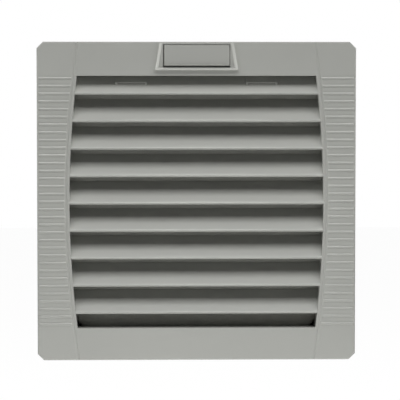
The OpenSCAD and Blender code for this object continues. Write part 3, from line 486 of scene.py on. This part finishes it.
class FILTERFAN_OT_stage(bpy.types.Operator):
    """Set up the floor, the even light, the lamps and the camera"""

    bl_idname = "filterfan.stage"
    bl_label = "Studio"

    def execute(self, context):
        stage = context.scene.filter_fan_stage
        context.scene.view_settings.view_transform = "Standard"
        self.floor(CAD_LOW.z - stage.floor_drop)
        self.sky(context.scene, stage.sky)
        self.front_lamps(stage)
        self.side_lamps(stage)
        self.camera(context.scene, stage)
        return {"FINISHED"}

    def front_lamps(self, stage):
        """The wide key lamp over the camera, and the low lamp that lifts the undersides."""
        far = stage.key_distance
        key_size = (stage.key_width, stage.key_depth)
        key_place = (0.0, -far * math.cos(stage.key_height), far * math.sin(stage.key_height))
        key_target = (0.0, 0.0, 0.0)
        self.panel_lamp("key_lamp", stage.key, key_size, key_place, key_target)
        fill_size = (0.5, 0.12)
        fill_place = (0.0, -0.18, CAD_LOW.z - 0.27)
        fill_target = (0.0, -0.08, 0.0)
        fill = self.panel_lamp("low_fill", stage.fill, fill_size, fill_place, fill_target)
        fill.visible_glossy = False

    def side_lamps(self, stage):
        """On each side, a high lamp and one at the latch that graze the front, and one behind."""
        middle_height = 0.0
        latch_height = 0.10
        back_size = (1.2, 1.2)
        back_target = (0.0, 0.04, 0.0)
        for name, way, level in (("left", -1, stage.level_left), ("right", 1, stage.level_right)):
            high_place = (way * 1.81, CAD_LOW.y - 0.030, 0.845)
            level_place = (way * 1.90, CAD_LOW.y - 0.062, 0.14)
            back_place = (way * 1.3, 1.7, 1.3)
            self.grazing_lamp(name + "_lamp", stage.sides, high_place, middle_height)
            self.grazing_lamp(name + "_level_lamp", level, level_place, latch_height)
            self.panel_lamp(name + "_back_lamp", stage.back, back_size, back_place, back_target)

    def seen_white(self, plan):
        """1 for a ray that shows the background: to the camera, in a mirror or through glass."""
        ray = plan.add("ShaderNodeLightPath", output="Is Camera Ray")
        gloss = plan.add("ShaderNodeLightPath", output="Is Glossy Ray")
        through = plan.add("ShaderNodeLightPath", output="Is Transmission Ray")
        return ray.worked("MINIMUM", ray + gloss + through, 1.0)

    def floor(self, height):
        reach = 6.0
        brightness = 1.035
        white_share = 0.94
        signs = ((-1, -1), (1, -1), (1, 1), (-1, 1))
        corners = [(x * reach, y * reach, height) for x, y in signs]
        floor = helper_mesh("studio_floor", corners, (), [(0, 1, 2, 3)])
        material = bpy.data.materials.new("pale studio floor")
        material.use_nodes = True
        plan = Plan(material.node_tree)
        white = plan.add("ShaderNodeEmission", None, {"Color": WHITE, "Strength": brightness})
        matt = plan.add("ShaderNodeBsdfDiffuse", None, {"Color": (0.80, 0.80, 0.79, 1.0)})
        share = self.seen_white(plan) * white_share
        blend = plan.add("ShaderNodeMixShader", None, {0: share, 1: matt, 2: white})
        plan.fill(plan.tree.nodes["Material Output"], {"Surface": blend})
        floor.data.materials.append(material)

    def sky(self, scene, strength):
        world = bpy.data.worlds.new("even light")
        world.use_nodes = True
        scene.world = world
        plan = Plan(world.node_tree)
        level = self.seen_white(plan) * (1.0 - strength) + strength
        plan.fill(plan.tree.nodes["Background"], {"Color": WHITE, "Strength": level})

    def grazing_lamp(self, name, power, place, height):
        """A small lamp for the cover and latch alone, whose cone ends just behind their front."""
        behind_front = 5 * MM
        cone_reach = 1.6
        start = Vector(place)
        edge = Vector((0.0, CAD_LOW.y + behind_front, height))
        target = edge - Vector((0.0, cone_reach, 0.0))
        lamp = bpy.data.lights.new(name, "SPOT")
        lamp.energy = power
        lamp.spot_size = 2 * (target - start).angle(edge - start)
        lamp.spot_blend = 0.0
        lamp.shadow_soft_size = 3 * MM
        holder = self.aimed(placed(name, lamp), place, target)
        lit = bpy.data.collections.new(name + "_reach")
        for node in ("front_cover", "cover_latch"):
            lit.objects.link(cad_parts[node])
        holder.light_linking.receiver_collection = lit
        holder.visible_glossy = False

    def panel_lamp(self, name, power, size, place, target):
        lamp = bpy.data.lights.new(name, "AREA")
        lamp.energy = power
        lamp.shape = "RECTANGLE"
        lamp.size, lamp.size_y = size
        return self.aimed(placed(name, lamp), place, target)

    def aimed(self, holder, place, target):
        holder.location = place
        holder.rotation_euler = (Vector(target) - Vector(place)).to_track_quat("-Z", "Y").to_euler()
        return holder

    def camera(self, scene, stage):
        lens = bpy.data.cameras.new("photo_camera")
        lens.lens = stage.focal_length
        lens.sensor_width = 36.0
        lens.sensor_fit = "HORIZONTAL"
        camera = placed("photo_camera", lens)
        camera.location = stage.camera_place
        camera.rotation_euler = (math.radians(90) - stage.camera_down, 0.0, -stage.camera_right)
        scene.camera = camera


class FILTERFAN_OT_cover(bpy.types.Operator):
    """Give the cover and its latch their grained finish and the ejector marks inside"""

    bl_idname = "filterfan.cover"
    bl_label = "Cover and latch"

    def execute(self, context):
        plastic = moulded_plastic("grained cover plastic", colours().cover, 1700.0, 0.31)
        finished(plastic, "front_cover", "cover_latch")
        self.ejector_marks(plastic)
        return {"FINISHED"}

    def ejector_marks(self, plastic):
        inner_face = CAD_LOW.y + 4.7 * MM
        from_edge = 13 * MM
        spacing = 30 * MM
        thickness = 0.24 * MM
        heights = [step * spacing for step in range(-3, 4)]
        spots = [(side * (CAD_HIGH.x - from_edge), inner_face, z) for side in (-1, 1) for z in heights]
        marks = Growth("ejector_marks", Radius=sizes().mark_radius, Height=thickness)
        disc = marks.add("GeometryNodeMeshCylinder", None,
                         {"Vertices": 28, "Radius": marks.size["Radius"], "Depth": marks.size["Height"]})
        shape = marks.set_on(marks.base, disc, TIPPED)
        piece = marks.grown(helper_mesh("mark_spots", spots), shape, plastic)
        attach(piece, "cover")


class FILTERFAN_OT_housing(bpy.types.Operator):
    """Give the housing, grid, clips and terminal block their plastics"""

    bl_idname = "filterfan.housing"
    bl_label = "Housing and clips"

    def execute(self, context):
        tone = colours()
        grey = moulded_plastic("housing plastic", tone.housing, 1200.0, 0.46)
        finished(grey, "housing", "filter_grid")
        black = moulded_plastic("black clip plastic", tone.clips, 900.0, 0.38)
        finished(black, "clip_top_left", "clip_top_right", "clip_bottom_left", "clip_bottom_right")
        pale = moulded_plastic("terminal plastic", tone.terminals, 1400.0, 0.4)
        finished(pale, "terminal_block")
        return {"FINISHED"}


class FILTERFAN_OT_metalwork(bpy.types.Operator):
    """Give the fan frame, the motor and the fasteners their metal finishes"""

    bl_idname = "filterfan.metalwork"
    bl_label = "Metal pieces"

    def execute(self, context):
        tone = colours()
        cast = die_casting("die-cast aluminium", tone.casting)
        finished(cast, "fan_frame", "motor_bracket", "motor_cap", "rotor_cage")
        plated = plated_steel("zinc-plated steel", tone.zinc, 0.3)
        finished(plated, "hinge_pins", "clip_pins", "front_bearing", "rear_bearing", "rotor_shaft")
        finished(plated, "shaft_circlip", "fan_screws", "guard_screws", "guard_nuts", "earth_screw")
        finished(plated_steel("chromed guard wire", tone.wire, 0.2), "finger_guard")
        finished(painted_steel("black painted steel", tone.paint), "rotor_cup")
        finished(stacked_sheets("stacked core sheets", tone.sheets), "stator_core")
        finished(wound_copper("wound copper wire", tone.copper), "stator_coils")
        finished(plated_steel("terminal brass", tone.brass, 0.28), "terminal_screws")
        self.thread_ends(plated_steel("rolled screw thread", tone.zinc, 0.26))
        self.spot_welds(plated_steel("bright weld metal", tone.wire, 0.3))
        return {"FINISHED"}

    def leg_directions(self):
        lean = sizes().arm_angle
        return [(side * math.cos(lean), rise * math.sin(lean)) for side in (-1, 1) for rise in (-1, 1)]

    def thread_ends(self, metal):
        size = sizes()
        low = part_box("guard_screws")[0].y
        nut_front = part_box("guard_nuts")[0].y
        spots = [(x * size.screw_circle, nut_front, z * size.screw_circle) for x, z in self.leg_directions()]
        bare_end = 0.3 * MM
        ridge_radius = 0.2 * MM
        rise = nut_front - low - bare_end
        thread = Growth("screw_threads", Radius=size.thread_radius, Rise=rise,
                        Turns=rise / size.thread_pitch, Ridge=ridge_radius)
        coil = thread.add("GeometryNodeCurveSpiral", None, {
            "Resolution": 24, "Rotations": thread.size["Turns"], "Start Radius": thread.size["Radius"],
            "End Radius": thread.size["Radius"], "Height": thread.size["Rise"]})
        ridge = thread.tube(coil, thread.size["Ridge"], 6)
        shape = thread.set_on(thread.base, ridge, TIPPED)
        piece = thread.grown(helper_mesh("thread_spots", spots), shape, metal)
        smooth(piece.data, 60)
        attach(piece, "base")

    def spot_welds(self, metal):
        size = sizes()
        step = (size.ring_last - size.ring_first) / (size.ring_count - 1)
        radii = [size.ring_first + step * place for place in range(size.ring_count)]
        weld_inset = 1.6 * MM
        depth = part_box("finger_guard")[1].y - weld_inset
        spots = [(x * radius, depth, z * radius) for x, z in self.leg_directions() for radius in radii]
        welds = Growth("spot_welds", Radius=size.nugget)
        ball = welds.add("GeometryNodeMeshIcoSphere", None,
                         {"Radius": welds.size["Radius"], "Subdivisions": 3})
        turn = welds.chance((0.0, 0.0, 0.0), (0.0, 3.1, 0.0), 3)
        scale = welds.chance((0.85, 0.42, 0.85), (1.1, 0.55, 1.1), 5)
        shape = welds.set_on(welds.base, ball, turn, scale)
        piece = welds.grown(helper_mesh("weld_spots", spots), shape, metal)
        smooth(piece.data, 180)
        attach(piece, "base")


class FILTERFAN_OT_blades(bpy.types.Operator):
    """Make the curved sheet blades and the weld seams that hold them on the rotor cup"""

    bl_idname = "filterfan.blades"
    bl_label = "Fan blades"

    spans = 20
    steps = 26
    edge_thinning = 2.4
    edge_nose = 0.008

    def execute(self, context):
        size = sizes()
        paint = painted_steel("black blade paint", colours().paint)
        self.blades(size, paint)
        self.root_seams(size, paint)
        return {"FINISHED"}

    def skin_point(self, size, out, along_chord, side):
        """A point of a blade: share of its reach, share of its width, and which skin it lies on."""
        radius = size.blade_root + out * (size.blade_tip - size.blade_root)
        chord = size.root_chord + out * (size.tip_chord - size.root_chord)
        lean = size.root_lean + out * (size.tip_lean - size.root_lean)
        share = along_chord - 0.5
        lift = size.camber * chord * (1 - 4 * share ** 2)
        lift += side * size.blade_sheet / 2 * (1 - self.edge_thinning * share ** 2)
        across = share * chord * math.sin(lean) + lift * math.cos(lean)
        depth = size.blade_middle + share * chord * math.cos(lean) - lift * math.sin(lean)
        angle = across / radius
        return (radius * math.cos(angle), depth, radius * math.sin(angle))

    def blade_mesh(self, size):
        """One closed blade, with round leading and trailing edges."""
        loop = [(step / self.steps, 1) for step in range(self.steps + 1)]
        loop += [(1 + self.edge_nose, 0)]
        loop += [(1 - step / self.steps, -1) for step in range(self.steps + 1)]
        loop += [(-self.edge_nose, 0)]
        points = [self.skin_point(size, span / self.spans, chord, side)
                  for span in range(self.spans + 1) for chord, side in loop]
        turn = len(loop)
        faces = []
        for span in range(self.spans):
            for step in range(turn):
                near = span * turn + step
                beside = span * turn + (step + 1) % turn
                faces.append((near, beside, beside + turn, near + turn))
        faces.append(tuple(range(turn)))
        faces.append(tuple(reversed(range(self.spans * turn, self.spans * turn + turn))))
        blade = helper_mesh("single_blade", points, (), faces)
        build = bmesh.new()
        build.from_mesh(blade.data)
        bmesh.ops.recalc_face_normals(build, faces=build.faces)
        build.to_mesh(blade.data)
        build.free()
        return blade

    def blades(self, size, paint):
        wheel = Growth("fan_blades", Blades=size.blade_count)
        shape = wheel.turned_round(wheel.base, wheel.size["Blades"])
        piece = wheel.grown(self.blade_mesh(size), shape, paint)
        smooth(piece.data, 50)
        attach(piece, "rotor")
        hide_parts("impeller")

    def root_seams(self, size, paint):
        """A lumpy weld bead along both sides of each blade's root."""
        cuts = 40
        bare_end = 0.04
        off_middle = 1.5
        lump_scale = 520.0
        lump_height = 1.4
        shares = [bare_end + (1 - 2 * bare_end) * cut / cuts for cut in range(cuts + 1)]
        points = [self.skin_point(size, 0.0, share, side * off_middle)
                  for side in (1, -1) for share in shares]
        edges = [(first + cut, first + cut + 1) for first in (0, cuts + 1) for cut in range(cuts)]
        seams = Growth("blade_seams", Blades=size.blade_count, Radius=size.weld_radius)
        curve = seams.add("GeometryNodeMeshToCurve", None, {"Mesh": seams.base})
        bead = seams.tube(curve, seams.size["Radius"], 8)
        lumps = seams.add("ShaderNodeTexNoise", None, {"Scale": lump_scale, "Detail": 1.0}) - 0.5
        normal = seams.add("GeometryNodeInputNormal")
        push = seams.add("ShaderNodeVectorMath", {"operation": "SCALE"},
                         {0: normal, "Scale": lumps * seams.size["Radius"] * lump_height})
        uneven = seams.add("GeometryNodeSetPosition", None, {"Geometry": bead, "Offset": push})
        shape = seams.turned_round(uneven, seams.size["Blades"])
        piece = seams.grown(helper_mesh("seam_path", points, edges), shape, paint)
        smooth(piece.data, 180)
        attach(piece, "rotor")


class FILTERFAN_OT_fleece(bpy.types.Operator):
    """Blow up the filter mat's fleece and scatter loose fibres over its front"""

    bl_idname = "filterfan.fleece"
    bl_label = "Filter mat"

    def execute(self, context):
        size = sizes()
        fleece = needled_fleece("needled fleece", colours().fleece)
        mat = self.cut_shape(size)
        self.blow_up(context.scene, mat, size)
        self.ruffle(mat, size)
        mat.data.materials.clear()
        mat.data.materials.append(fleece)
        self.fibres(mat, size, fleece)
        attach(mat, "base")
        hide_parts("filter_mat")
        return {"FINISHED"}

    def cut_shape(self, size):
        """An evenly meshed copy of the mat, thinner by the loft and cut to a close fit."""
        low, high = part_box("filter_mat")
        middle = (low + high) / 2
        spare = (size.trim, size.loft, size.trim)
        build = bmesh.new()
        build.from_mesh(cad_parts["filter_mat"].data)
        bmesh.ops.remove_doubles(build, verts=build.verts, dist=0.01 * MM)
        for point in build.verts:
            for axis in range(3):
                half = (high[axis] - low[axis]) / 2
                point.co[axis] = middle[axis] + (point.co[axis] - middle[axis]) * (half - spare[axis]) / half
        mesh = bpy.data.meshes.new("filter_fleece")
        build.to_mesh(mesh)
        build.free()
        mat = placed("filter_fleece", mesh)
        even = mat.modifiers.new("even_cells", "REMESH")
        even.mode = "VOXEL"
        even.voxel_size = size.fleece_cell
        mat.data = plain_mesh(mat)
        mat.modifiers.remove(even)
        return mat

    def blow_up(self, scene, mat, size):
        """Cloth under pressure, held to the loft and worked into the mesh."""
        pressure = 4.0
        last_frame = 20
        cut = [point.co.copy() for point in mat.data.vertices]
        cloth = mat.modifiers.new("pressure", "CLOTH")
        cloth.settings.use_pressure = True
        cloth.settings.uniform_pressure_force = pressure
        cloth.settings.effector_weights.gravity = 0.0
        for step in range(1, last_frame + 1):
            scene.frame_set(step)
        mat.data = plain_mesh(mat)
        mat.modifiers.remove(cloth)
        scene.frame_set(1)
        for point, start in zip(mat.data.vertices, cut):
            move = point.co - start
            if move.length > size.loft:
                point.co = start + move * (size.loft / move.length)

    def ruffle(self, mat, size):
        """One subdivision, soft lumps, and nothing past the space that the mat has."""
        lump_scale = 130.0
        low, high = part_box("filter_mat")
        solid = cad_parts["filter_mat"].data
        corner = max(abs(point.co.x) + abs(point.co.z) for point in solid.vertices)
        finer = mat.modifiers.new("finer", "SUBSURF")
        finer.levels = 1
        finer.render_levels = 1
        mat.data = plain_mesh(mat)
        mat.modifiers.remove(finer)
        normals = [point.normal.copy() for point in mat.data.vertices]
        for point, normal in zip(mat.data.vertices, normals):
            lump = noise.fractal(point.co * lump_scale, 1.0, 2.0, 3)
            place = point.co + normal * lump * size.ruffle
            point.co = [min(max(place[axis], low[axis]), high[axis]) for axis in range(3)]
            over = max(0.0, abs(point.co.x) + abs(point.co.z) - corner) / 2
            point.co.x -= math.copysign(over, point.co.x)
            point.co.z -= math.copysign(over, point.co.z)
        smooth(mat.data, 180)

    def fibres(self, mat, size, fleece):
        facing_front = -0.8
        curl_share = 0.22
        stand = 0.4 * MM
        low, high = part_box("filter_mat")
        density = size.fibre_count / ((high.x - low.x) * (high.z - low.z))
        hair = Growth("fleece_fibres", Density=density, Length=size.fibre_length, Radius=size.fibre_radius)
        normal = hair.add("GeometryNodeInputNormal")
        front = hair.add("ShaderNodeSeparateXYZ", None, {0: normal}, "Y") < facing_front
        spread = hair.tree.nodes.new("GeometryNodeDistributePointsOnFaces")
        hair.fill(spread, {
            "Mesh": hair.base, "Selection": front, "Density": hair.size["Density"], "Seed": 11})
        half = hair.size["Length"] * 0.5
        curl = hair.size["Length"] * curl_share
        strand = hair.add("GeometryNodeCurveQuadraticBezier", None, {
            "Resolution": 5, "Start": hair.joined(x=0.0 - half), "Middle": hair.joined(y=curl, z=stand),
            "End": hair.joined(x=half)})
        thread = hair.tube(strand, hair.size["Radius"], 3)
        turn = hair.add("FunctionNodeRotateRotation", {"rotation_space": "LOCAL"}, {
            "Rotation": Socket(hair, spread.outputs["Rotation"]),
            "Rotate By": hair.chance((-0.06, -0.06, 0.0), (0.06, 0.06, TURN), 17)})
        scale = hair.chance((0.5, 0.5, 0.7), (1.2, 1.4, 1.0), 23)
        shape = hair.set_on(Socket(hair, spread.outputs["Points"]), thread, turn, scale)
        piece = hair.grown(placed("fibre_ground", mat.data.copy()), shape, fleece)
        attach(piece, "base")


class FILTERFAN_OT_seal(bpy.types.Operator):
    """Lay the foam sealing strip round the back of the flange"""

    bl_idname = "filterfan.seal"
    bl_label = "Sealing strip"

    def execute(self, context):
        size = sizes()
        low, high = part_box("flange_gasket")
        half_way = high.x - size.strip_width / 2
        corner = 5 * MM
        bend = 4 * MM
        gap = size.strip_joint / 2
        straight = half_way - corner
        right = [(gap, -half_way), (straight, -half_way), (half_way, -straight), (half_way, straight),
                 (straight, half_way)]
        left = [(-x, z) for x, z in reversed(right)]
        path = [(x, z, 0.0) for x, z in right + left]
        edges = [(step, step + 1) for step in range(len(path) - 1)]
        strip = Growth("sealing_strip", Width=size.strip_width, Thickness=high.y - low.y,
                       Rounding=size.strip_round, Depth=(low.y + high.y) / 2)
        curve = strip.add("GeometryNodeMeshToCurve", None, {"Mesh": strip.base})
        bent = strip.rounded(curve, 5, bend)
        upright = strip.add("GeometryNodeSetCurveNormal", {"mode": "Z_UP"}, {"Curve": bent})
        block = strip.add("GeometryNodeCurvePrimitiveQuadrilateral", None,
                          {"Width": strip.size["Width"], "Height": strip.size["Thickness"]})
        tube = strip.swept(upright, strip.rounded(block, 4, strip.size["Rounding"]))
        shape = strip.add("GeometryNodeTransform", None, {
            "Geometry": tube, "Translation": strip.joined(y=strip.size["Depth"]), "Rotation": TIPPED})
        foam = cut_foam("cut foam", colours().foam)
        piece = strip.grown(helper_mesh("strip_path", path, edges), shape, foam)
        smooth(piece.data, 40)
        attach(piece, "base")
        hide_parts("flange_gasket")
        return {"FINISHED"}


class FILTERFAN_PT_panel(bpy.types.Panel):
    """Lists the filter fan's pieces and settings"""

    bl_idname = "FILTERFAN_PT_panel"
    bl_label = "Filter fan"
    bl_space_type = "VIEW_3D"
    bl_region_type = "UI"
    bl_category = "Filter fan"

    def draw(self, context):
        for maker in MAKERS:
            self.layout.operator(maker.bl_idname)
        for group in (context.scene.filter_fan_colours, context.scene.filter_fan_sizes,
                      context.scene.filter_fan_stage):
            column = self.layout.column()
            for name in group.__annotations__:
                column.prop(group, name)


MAKERS = (FILTERFAN_OT_stage, FILTERFAN_OT_cover, FILTERFAN_OT_housing, FILTERFAN_OT_metalwork,
          FILTERFAN_OT_blades, FILTERFAN_OT_fleece, FILTERFAN_OT_seal)
CLASSES = (FilterFanColours, FilterFanSizes, FilterFanStage) + MAKERS + (FILTERFAN_PT_panel,)


def register():
    for kind in CLASSES:
        bpy.utils.register_class(kind)
    bpy.types.Scene.filter_fan_colours = bpy.props.PointerProperty(type=FilterFanColours)
    bpy.types.Scene.filter_fan_sizes = bpy.props.PointerProperty(type=FilterFanSizes)
    bpy.types.Scene.filter_fan_stage = bpy.props.PointerProperty(type=FilterFanStage)


def unregister():
    del bpy.types.Scene.filter_fan_stage
    del bpy.types.Scene.filter_fan_sizes
    del bpy.types.Scene.filter_fan_colours
    for kind in reversed(CLASSES):
        bpy.utils.unregister_class(kind)


def main():
    register()
    bpy.ops.filterfan.stage()
    bpy.ops.filterfan.cover()
    bpy.ops.filterfan.housing()
    bpy.ops.filterfan.metalwork()
    bpy.ops.filterfan.blades()
    bpy.ops.filterfan.fleece()
    bpy.ops.filterfan.seal()


if __name__ == "__main__":
    main()
